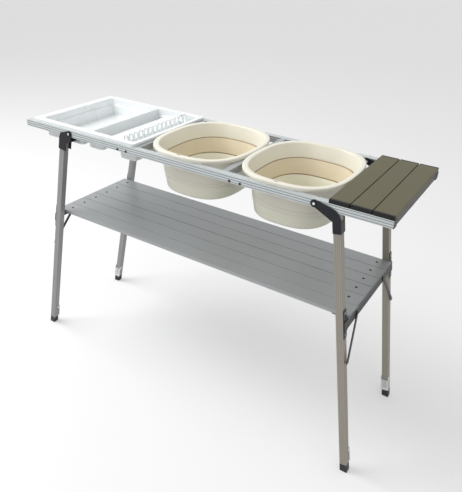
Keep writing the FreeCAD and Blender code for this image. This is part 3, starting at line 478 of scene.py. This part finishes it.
# ---------------------------------------------------------------- leg brackets and their pivots
# Forks moulded in black glass-filled nylon, each held to its rail by a hollow steel rivet whose bright
# rolled eye shows inside a black washer. The socket below takes the top of the leg.


def make_scuffed():
    """A dark moulding or coating with a fine grain and a few pale rubbed spots."""
    spot_scale, spot_start, spot_full, spot_roughness = 30.0, 0.56, 0.78, 0.3
    group, given, made = effect_group("scuffed", [
        ("Coordinate", "Vector", None), ("Colour", "Color", (0.02, 0.02, 0.02, 1)),
        ("Rubbed colour", "Color", (0.2, 0.2, 0.2, 1)), ("Roughness", "Float", 0.4),
        ("Grain", "Float", 700.0), ("Rubbing", "Float", 0.5)], SURFACE)
    grain = speckle(group, given["Coordinate"], given["Grain"], Detail=2.0)
    drift = speckle(group, given["Coordinate"], spot_scale, Detail=6.0, Roughness=0.65)
    spots = wire(group, "MapRange", {"Value": drift, "From Min": spot_start,
                                     "From Max": spot_full}).outputs[0]
    mask = math_node(group, "MULTIPLY", spots, given["Rubbing"])
    mixed = wire(group, "Mix", {0: mask, 6: given["Colour"], 7: given["Rubbed colour"]},
                 data_type="RGBA").outputs[2]
    shade = math_node(group, "MULTIPLY_ADD", drift, 0.5, 0.75)
    rough = math_node(group, "MULTIPLY_ADD", mask, spot_roughness, given["Roughness"])
    group.links.new(tinted(group, mixed, shade), made["Colour"])
    group.links.new(rough, made["Roughness"])
    group.links.new(grain, made["Height"])
    return group


scuffed = make_scuffed()
LEG_NAMES = ["front_left", "rear_left", "front_right", "rear_right"]
nylon = made_of("black nylon", scuffed, {
    "Colour": (0.010, 0.011, 0.017, 1), "Rubbed colour": (0.05, 0.053, 0.065, 1), "Roughness": 0.42,
    "Rubbing": 0.35}, relief=0.00012, specular=0.32)
for leg in LEG_NAMES:
    node = "leg_bracket_" + leg
    finished(softened(node, radius=0.0012, segments=3), "leg_" + leg, "black_plastic", nylon, node)

RIVET_RADIUS, RIVET_HEIGHT, RIVET_ROUNDING = 0.006, 0.0018, 0.0007
EYE_RADIUS = 0.0032
# From the washer to the hollow inside the eye: how far each ring lies in from the last, and its step.
EYE_RINGS = [(0.0015, -0.0006), (0.0003, 0.0005), (0.0014, -0.0012)]
rivet = disc(RIVET_RADIUS, RIVET_HEIGHT, sides=36)
top_rounded(rivet, RIVET_HEIGHT, RIVET_ROUNDING, segments=3)
pick_faces(rivet, lambda centre, normal: normal.z > 0.99)
for inset, step in EYE_RINGS:
    bpy.ops.mesh.inset(thickness=inset)
    raised(step)
pick_faces(rivet, lambda centre, normal: centre.xy.length < EYE_RADIUS and centre.z > 0.0001)
rivet.data.materials.append(screw_steel)
eye_steel = made_of("bright rivet eye", moulded, {
    "Colour": (0.80, 0.80, 0.78, 1), "Roughness": 0.28, "Drift": 0.2}, metallic=0.9, relief=0.00003)
rivet.data.materials.append(eye_steel)
rivet.active_material_index = 1
bpy.ops.object.material_slot_assign()
bpy.ops.object.mode_set(mode="OBJECT")
bpy.ops.object.shade_smooth_by_angle(angle=math.radians(35))

pivots_low, pivots_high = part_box("pivot_rivets")
rivet_face = pivots_high.y - rail_middle.y - RIVET_HEIGHT
rivet_places = [Matrix.Translation((across, row * rail_middle.y + way * rivet_face, rail_middle.z))
                @ Matrix.Rotation(-way * math.pi / 2, 4, "X")
                for across in (pivots_low.x + RIVET_RADIUS, pivots_high.x - RIVET_RADIUS)
                for row in (-1, 1) for way in (-1, 1)]
pivot_eyes = copied("pivot_eyes", rivet, rivet_places)
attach(pivot_eyes, "frame")
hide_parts("pivot_rivets")


# ---------------------------------------------------------------- legs
# Square aluminium tubes with rounded corners and a few fine ribs down each face, dull anodised. A black
# steel hook plate is riveted to each, with the pin that the shelf's strut drops over. The bar at the
# frame's right end gets the same black coat as painted shade on its side away from the light.

SPLAY = math.radians(9.64)
# The legs are all one anodised tube; the right legs are painted warmer and browner than the left, as
# painted light on that side.
LEG_COLOURS_WITH_PAINTED_LIGHT = {"left": (0.33, 0.335, 0.34, 1), "right": (0.35, 0.325, 0.28, 1)}
leg_metal = {side: made_of("anodised leg with painted light, " + side, drawn_lines, {
    "Colour": LEG_COLOURS_WITH_PAINTED_LIGHT[side], "Roughness": 0.48, "Rib pitch": 0.0050, "Ribs across Y": 0.32,
    "Ribs across Z": 0.32}, metallic=0.45, relief=0.0003, turn=(0, way * (math.pi / 2 - SPLAY), 0))
    for side, way in (("left", 1), ("right", -1))}
black_coat = made_of("black coated steel", scuffed, {
    "Colour": (0.014, 0.014, 0.017, 1), "Rubbed colour": (0.10, 0.10, 0.10, 1), "Roughness": 0.42,
    "Grain": 1500.0, "Rubbing": 0.4}, relief=0.00006, specular=0.35)
zinc = made_of("zinc plate", moulded, {
    "Colour": (0.35, 0.35, 0.36, 1), "Roughness": 0.42, "Drift": 0.4}, metallic=0.8, relief=0.00004)
for leg in LEG_NAMES:
    body, side = "leg_" + leg, leg.split("_")[1]
    tube, hook, pins = "leg_tube_" + leg, "shelf_hook_" + leg, "leg_pins_" + leg
    finished(softened(tube, radius=0.0009, segments=3), body, "leg", leg_metal[side], tube)
    finished(softened(hook, radius=0.0004), body, "black_steel", black_coat, hook)
    finished(softened(pins, radius=0.0006, segments=3), body, "fastener", zinc, pins)
# Painted shade: the bar at the frame's right end is given the black coat to stand for its shade.
dress("right_end_bar", black_coat)


# ---------------------------------------------------------------- feet and flip levers
# Black rubbery plastic feet on stems that slide in the legs, and bright pressed levers with four grip
# slots, one over the inner face of each leg.

foot_rubber = made_of("black foot rubber", scuffed, {
    "Colour": (0.018, 0.018, 0.019, 1), "Rubbed colour": (0.12, 0.115, 0.11, 1), "Roughness": 0.55,
    "Grain": 500.0, "Rubbing": 0.55}, relief=0.00015)
bright_plate = made_of("bright lever plate", moulded, {
    "Colour": (0.72, 0.73, 0.72, 1), "Roughness": 0.34, "Drift": 0.15}, metallic=0.5, relief=0.00004)
GRIP_SLOTS, GRIP_PITCH, GRIP_SLOT = 4, 0.0065, (0.0125, 0.03, 0.0020)
SLOTS_ABOVE_MIDDLE = 1.1


def slotted_lever(leg):
    """A flip lever with slots across its plate, which leans with the leg."""
    lever = softened("foot_lever_" + leg, radius=0.0005)
    low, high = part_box("foot_lever_" + leg)
    lean = SPLAY if leg.endswith("right") else -SPLAY
    for step in range(GRIP_SLOTS):
        below = (step - SLOTS_ABOVE_MIDDLE) * GRIP_PITCH
        place = (low + high) / 2 + Vector((below * math.tan(lean), 0, -below))
        combined(lever, "DIFFERENCE", block(place, GRIP_SLOT, (0, -lean, 0)))
    return lever


for leg in LEG_NAMES:
    foot = "foot_" + leg
    finished(softened(foot, radius=0.0016, segments=3), foot + "_body", "black_plastic", foot_rubber, foot)
    finished(slotted_lever(leg), "lever_" + leg, "fastener", bright_plate, "foot_lever_" + leg)


# ---------------------------------------------------------------- lower shelf
# Six hollow aluminium slats with fine ribs, dull grey with a painted highlight on their front top edges,
# screwed to a black steel angle at each end. Four flat black struts hang from the angles and brace the
# legs.

SHELF_COLOUR, SLAT_HIGHLIGHT_COLOUR = (0.38, 0.395, 0.405, 1), (0.98, 0.99, 0.99, 1)
shelf_metal = made_of("dull shelf slat", drawn_lines, {
    "Colour": SHELF_COLOUR, "Roughness": 0.42, "Rib pitch": 0.00755, "Ribs across Y": 0.08},
    metallic=0.45, relief=0.0004)
painted_slat_highlight = made_of("bright slat edge", drawn_lines, {
    "Colour": SLAT_HIGHLIGHT_COLOUR, "Roughness": 0.3}, metallic=0.1)


def on_front_edge(normal):
    """Whether a face lies in the rounding between a slat's front and its top."""
    return normal.y < -0.2 and 0.2 < normal.z < 0.98


for node in SHELF_SLATS:
    slat = finished(softened(node, radius=0.0018, segments=2), "shelf", "shelf_slat", shelf_metal, node)
    slat.data.materials.append(painted_slat_highlight)
    # Painted highlight: the rounding along each slat's front top edge is painted near white.
    for face in slat.data.polygons:
        if on_front_edge(face.normal):
            face.material_index = 1
for side in ("left", "right"):
    node = "shelf_bar_" + side
    finished(softened(node, radius=0.0005), "shelf", "black_steel", black_coat, node)
for leg in LEG_NAMES:
    node = "shelf_strut_" + leg
    finished(softened(node, radius=0.0004), "strut_" + leg, "black_steel", black_coat, node)


# ---------------------------------------------------------------- end table
# Three hollow slats with a taupe textured coating over fine ribs, each closed at both ends by a black
# plastic cap.

TAUPE = (0.122, 0.111, 0.066, 1)
taupe_coat = made_of("taupe coating", drawn_lines, {
    "Colour": TAUPE, "Roughness": 0.58, "Rib pitch": 0.0030, "Ribs across Y": 0.16},
    metallic=0.1, relief=0.0003, turn=ACROSS, specular=0.3)
cap_plastic = made_of("black cap plastic", scuffed, {
    "Colour": (0.008, 0.008, 0.008, 1), "Rubbed colour": (0.045, 0.045, 0.04, 1), "Roughness": 0.45,
    "Rubbing": 0.4}, relief=0.0001, specular=0.3)
for number in range(1, 4):
    node = f"table_slat_{number}"
    finished(softened(node, radius=0.0014, segments=3), "frame", "table_slat", taupe_coat, node)
finished(softened("table_slat_caps", radius=0.0014, segments=3), "frame", "black_plastic", cap_plastic,
         "table_slat_caps")


# ---------------------------------------------------------------- collapsible basins
# Two oval basins. A stiff cream rim and upper wall carries a soft silicone band, welded to a stiff cream
# base, so that the base can be pushed up to fold the band flat. The rim has a hole to hang it by. The
# band's tan inside and cream outside are painted shade and light on one silicone, with darker painted
# shade inside along the two welds.

RIM_HALF = (0.149, 0.182)
WALL_TOP_INSET, WALL_LOW_INSET = (0.0125, 0.0145), (0.038, 0.045)
BASIN_TOP, BASIN_DEPTH, BASIN_WALL = 0.799, 0.138, 0.0024
BAND_TOP, BAND_BOTTOM = 0.7557, 0.7043
HOOP_SIDES, CORNER_POWER = 112, 2 / 2.7
TABLE_GAP, BASIN_GAP = 0.0005, 0.0025
basin_2_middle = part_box("table_slat_1")[0].x - TABLE_GAP - RIM_HALF[0]
BASINS = ((1, basin_2_middle - BASIN_GAP - 2 * RIM_HALF[0]), (2, basin_2_middle))


def on_rim(inset, height):
    """A hoop in the rim: its half sizes and its height."""
    return RIM_HALF[0] - inset, RIM_HALF[1] - inset, height


def on_wall(inset, height, level=None):
    """A hoop in from the drafted outer face at a height, drawn at that height or another level."""
    share = (BASIN_TOP - height) / BASIN_DEPTH
    drawn_in = [top + share * (low - top) for top, low in zip(WALL_TOP_INSET, WALL_LOW_INSET)]
    return (RIM_HALF[0] - drawn_in[0] - inset, RIM_HALF[1] - drawn_in[1] - inset,
            height if level is None else level)


def drawn_vessel(name, centre, hoops, closed):
    """A wall drawn from one soft-cornered hoop to the next, and closed at its ends or on itself."""
    bpy.ops.object.select_all(action="DESELECT")
    bpy.ops.mesh.primitive_circle_add(vertices=HOOP_SIDES, radius=1, location=(0, 0, 0))
    piece = bpy.context.object
    piece.name = name
    for vertex in piece.data.vertices:
        along, back = vertex.co.x, vertex.co.y
        vertex.co = (centre + hoops[0][0] * math.copysign(abs(along) ** CORNER_POWER, along),
                     hoops[0][1] * math.copysign(abs(back) ** CORNER_POWER, back), hoops[0][2])
    bpy.ops.object.mode_set(mode="EDIT")
    bpy.ops.mesh.select_mode(type="EDGE")
    bpy.ops.mesh.select_all(action="SELECT")
    if not closed:
        bpy.ops.mesh.edge_face_add()
    for before, after in zip(hoops, hoops[1:]):
        bpy.ops.mesh.extrude_edges_move(TRANSFORM_OT_translate={"value": (0, 0, after[2] - before[2])})
        bpy.ops.transform.resize(value=(after[0] / before[0], after[1] / before[1], 1),
                                 center_override=(centre, 0, after[2]))
    if not closed:
        bpy.ops.mesh.edge_face_add()
    bpy.ops.mesh.select_all(action="SELECT")
    bpy.ops.mesh.remove_doubles(threshold=0.000001)
    bpy.ops.mesh.normals_make_consistent(inside=False)
    bpy.ops.object.mode_set(mode="OBJECT")
    bpy.ops.object.shade_smooth_by_angle(angle=math.radians(40))
    return piece


def quarter_round(radius, steps):
    """How far a quarter round lies in from its wall and up from its floor, from the floor up."""
    turns = [math.pi / 2 * step / steps for step in range(steps + 1)]
    return [(radius * (1 - math.sin(turn)), radius * (1 - math.cos(turn))) for turn in turns]


def corner_hoops(radius, floor_height, inset):
    """Hoops round the corner from the base's flat floor up into its wall."""
    return [on_wall(inset + inward, floor_height + radius, floor_height + upward)
            for inward, upward in quarter_round(radius, 5)]


def hang_hole(centre):
    """A punch for the oval hole in the front middle of a basin's rim."""
    bpy.ops.object.select_all(action="DESELECT")
    bpy.ops.mesh.primitive_cylinder_add(vertices=24, radius=1, depth=1,
                                        location=(centre, -RIM_HALF[1] + HOLE_INSET, BASIN_TOP))
    punch = bpy.context.object
    punch.scale = HOLE_PUNCH
    return punch


def band_finish(face, centre):
    """A face's slot in the band: tan painted shade inside, cream outside, and brown painted shade inside
    along the two welds.
    """
    outward = face.center - Vector((centre, 0, face.center.z))
    if outward.dot(face.normal) > 0:
        return BAND_FINISHES.index(cream)
    between_welds = BAND_BOTTOM + WELD_SHADE_WIDTH[0] < face.center.z < BAND_TOP - WELD_SHADE_WIDTH[1]
    return BAND_FINISHES.index(tan_band_with_painted_shade if between_welds else brown_weld_shade)


cream = made_of("cream basin plastic", moulded, {
    "Colour": (0.79, 0.765, 0.66, 1), "Roughness": 0.38, "Grain": 1300.0, "Drift": 0.05},
    relief=0.00002, coat=0.12)
base_cream = made_of("cream base plastic", moulded, {
    "Colour": (0.81, 0.80, 0.67, 1), "Roughness": 0.42, "Grain": 1300.0, "Drift": 0.05},
    relief=0.00002, coat=0.08)
tan_band_with_painted_shade = made_of("tan inside of band, painted shade", moulded, {
    "Colour": (0.72, 0.63, 0.47, 1), "Roughness": 0.55, "Grain": 1700.0, "Drift": 0.1},
    relief=0.00002, specular=0.4)
brown_weld_shade = made_of("painted shade along welds", moulded, {
    "Colour": (0.34, 0.25, 0.15, 1), "Roughness": 0.6, "Grain": 1700.0, "Drift": 0.1}, relief=0.00002)
BAND_FINISHES = [tan_band_with_painted_shade, cream, brown_weld_shade]
WELD_SHADE_WIDTH = (0.0033, 0.0029)
HOLE_INSET, HOLE_PUNCH = 0.0085, (0.0075, 0.0030, 0.012)

# The rim from its skirt over the top, down the upper wall's inside, up its outside and back under.
RIM_HOOPS = [on_rim(0.0004, 0.7893), on_rim(0, 0.7902), on_rim(0, 0.7962), on_rim(0.0006, 0.7978),
             on_rim(0.0022, 0.7988), on_rim(0.0055, 0.7990), on_rim(0.0110, 0.7987),
             on_wall(0.0008, BASIN_TOP, 0.7984), on_wall(0.0019, 0.7972, 0.7974),
             on_wall(BASIN_WALL, 0.7950), on_wall(BASIN_WALL, 0.7760), on_wall(BASIN_WALL, 0.7595),
             on_wall(0.0020, 0.7570), on_wall(0.0014, 0.7560), on_wall(0.0003, 0.7560),
             on_wall(0, 0.7570), on_wall(0, 0.7760), on_wall(0, 0.7930), on_wall(-0.0010, 0.7950),
             on_wall(-0.0024, 0.7957, 0.7958), on_rim(0.0034, 0.7960), on_rim(0.0030, 0.7952),
             on_rim(0.0029, 0.7900), on_rim(0.0024, 0.7893), on_rim(0.0004, 0.7893)]
# The band from its outer foot over a step, up to its top and down its inside.
BAND_HOOPS = [on_wall(0.0003, BAND_BOTTOM), on_wall(0, 0.7050), on_wall(0, 0.7158),
              on_wall(0.0004, 0.7166), on_wall(0.0012, 0.7170), on_wall(0.0009, 0.7200),
              on_wall(0.0006, 0.7360), on_wall(0.0006, 0.7540), on_wall(0.0009, 0.7554),
              on_wall(0.0016, BAND_TOP), on_wall(0.0023, 0.7552), on_wall(0.0030, 0.7530),
              on_wall(0.0033, 0.7300), on_wall(0.0030, 0.7080), on_wall(0.0024, 0.7050),
              on_wall(0.0019, BAND_BOTTOM), on_wall(0.0003, BAND_BOTTOM)]
# The base from the middle of its underside, round its outside and top edge, to the middle of its floor.
BASE_BOTTOM, BASE_FLOOR, BASE_TOP = 0.661, 0.6636, 0.704
BASE_RECESS, BASE_CORNER = 0.0012, 0.012
BASE_HOOPS = ([on_wall(0.085, 0.673, BASE_BOTTOM + BASE_RECESS),
               on_wall(0.030, 0.673, BASE_BOTTOM + BASE_RECESS), on_wall(0.027, 0.673, BASE_BOTTOM)]
              + corner_hoops(BASE_CORNER, BASE_BOTTOM, 0)
              + [on_wall(0, 0.690), on_wall(0, 0.7032), on_wall(0.0005, BASE_TOP),
                 on_wall(0.0019, BASE_TOP), on_wall(BASIN_WALL, 0.7034), on_wall(BASIN_WALL, 0.690)]
              + corner_hoops(BASE_CORNER, BASE_FLOOR, BASIN_WALL)[::-1]
              + [on_wall(0.028, 0.675, BASE_FLOOR), on_wall(0.085, 0.675, BASE_FLOOR)])
for number, centre in BASINS:
    rim = drawn_vessel(f"basin_{number}_rolled_rim", centre, RIM_HOOPS, closed=True)
    combined(rim, "DIFFERENCE", hang_hole(centre))
    bpy.ops.object.shade_smooth_by_angle(angle=math.radians(40))
    finished(rim, f"basin_{number}", "basin", cream, f"basin_{number}_rim")
    band = drawn_vessel(f"basin_{number}_soft_band", centre, BAND_HOOPS, closed=True)
    for finish in BAND_FINISHES:
        band.data.materials.append(finish)
    # Painted light and shade: one silicone band is tan inside, cream outside and brown along the welds
    # inside.
    for face in band.data.polygons:
        face.material_index = band_finish(face, centre)
    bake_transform(band)
    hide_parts(f"basin_{number}_wall")
    finished(drawn_vessel(f"basin_{number}_stiff_base", centre, BASE_HOOPS, closed=False),
             f"basin_{number}_bottom", "basin", base_cream, f"basin_{number}_base")


# ---------------------------------------------------------------- drainer tray and plate rack
# A glossy white vacuum-formed tray whose lip lies on the rails: a shallow recess with a divider, and
# three wells with sloping walls. A row of looped prongs holds the plates apart.

SHEET = 0.0022
tray_low, tray_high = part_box("drainer_tray")
LIP_BOTTOM, BELOW_LIP = 0.7893, 0.78
RECESS_FLOOR, RECESS_HALF_DEPTH = 0.772, 0.166
RECESS_LEFT, RECESS_RIGHT = tray_low.x + 0.022, tray_high.x - 0.011
WELL_HALF_DEPTH, WELL_FLOOR, PLATE_WELL_FLOOR = 0.160, 0.737, 0.732
WELLS = [(tray_low.x + 0.028, tray_high.x - 0.227, WELL_FLOOR),
         (tray_high.x - 0.207, tray_high.x - 0.145, WELL_FLOOR),
         (tray_high.x - 0.079, tray_high.x - 0.013, PLATE_WELL_FLOOR)]
DIVIDER_LEFT, DIVIDER_RIGHT = tray_high.x - 0.181 - SHEET / 2, tray_high.x - 0.181 + SHEET / 2
DRAFT, OVERLAP, SQUARE = 0.002, 0.001, 0.0001


def pan(low, high, half_depth, top, bottom, draft, corner, toe):
    """Solid with soft corners, from a flat top down sloping sides to a floor with a rounded toe."""
    half, middle = (high - low) / 2, (low + high) / 2
    levels = [(draft + inward, bottom + upward) for inward, upward in quarter_round(toe, 4)]
    levels.append((0, top))
    bpy.ops.object.select_all(action="DESELECT")
    bpy.ops.mesh.primitive_plane_add(size=2, location=(middle, 0, bottom))
    solid = bpy.context.object
    solid.scale = (half - draft - toe, half_depth - draft - toe, 1)
    bpy.ops.object.transform_apply(location=True, rotation=True, scale=True)
    bpy.ops.object.mode_set(mode="EDIT")
    bpy.ops.mesh.select_all(action="SELECT")
    bpy.ops.mesh.bevel(offset=corner, segments=6, affect="VERTICES")
    for before, after in zip(levels, levels[1:]):
        raised(after[1] - before[1])
        bpy.ops.transform.resize(value=((half - after[0]) / (half - before[0]),
                                        (half_depth - after[0]) / (half_depth - before[0]), 1),
                                 center_override=(middle, 0, after[1]))
    bpy.ops.mesh.select_all(action="SELECT")
    bpy.ops.mesh.normals_make_consistent(inside=False)
    bpy.ops.object.mode_set(mode="OBJECT")
    return solid


tray = pan(tray_low.x, tray_high.x, tray_high.y, top=tray_high.z, bottom=LIP_BOTTOM, draft=0,
           corner=0.009, toe=SQUARE)
tray.name = "drainer_tray_formed"
combined(tray, "DIFFERENCE", pan(
    tray_low.x + SHEET, tray_high.x - SHEET, tray_high.y - SHEET, top=tray_high.z - SHEET,
    bottom=BELOW_LIP, draft=0, corner=0.007, toe=SQUARE))
combined(tray, "UNION", pan(
    RECESS_LEFT, RECESS_RIGHT, RECESS_HALF_DEPTH, top=tray_high.z - SHEET / 2, bottom=RECESS_FLOOR,
    draft=DRAFT, corner=0.014, toe=0.004))
for low, high, well_bottom in WELLS:
    combined(tray, "UNION", pan(
        low, high, WELL_HALF_DEPTH, top=RECESS_FLOOR + SHEET / 2, bottom=well_bottom,
        draft=DRAFT, corner=0.010, toe=0.005))
combined(tray, "DIFFERENCE", pan(
    RECESS_LEFT + SHEET, RECESS_RIGHT - SHEET, RECESS_HALF_DEPTH - SHEET, top=tray_high.z + OVERLAP,
    bottom=RECESS_FLOOR + SHEET, draft=DRAFT, corner=0.012, toe=0.003))
for low, high, well_bottom in WELLS:
    combined(tray, "DIFFERENCE", pan(
        low + SHEET, high - SHEET, WELL_HALF_DEPTH - SHEET, top=RECESS_FLOOR + SHEET + OVERLAP,
        bottom=well_bottom + SHEET, draft=DRAFT, corner=0.008, toe=0.004))
combined(tray, "UNION", pan(
    DIVIDER_LEFT, DIVIDER_RIGHT, RECESS_HALF_DEPTH - SHEET * 1.5, top=tray_high.z - OVERLAP,
    bottom=RECESS_FLOOR + SHEET / 2, draft=0, corner=0.0003, toe=SQUARE))
combined(tray, "UNION", pan(
    DIVIDER_LEFT, DIVIDER_RIGHT, WELL_HALF_DEPTH - 0.004, top=RECESS_FLOOR + SHEET,
    bottom=WELL_FLOOR + OVERLAP, draft=0, corner=0.0003, toe=SQUARE))
only(tray)
merged()
rounded(tray, 0.0009, 3, sharp=50)
shaded_evenly(tray, 35)
tray_white = made_of("glossy white tray", moulded, {
    "Colour": (0.84, 0.87, 0.875, 1), "Roughness": 0.30, "Grain": 900.0, "Drift": 0.035},
    relief=0.00002, coat=0.25)
finished(tray, "tray", "tray", tray_white, "drainer_tray")
finished(softened("plate_prongs", radius=0.0011, segments=3), "tray", "tray", tray_white, "plate_prongs")
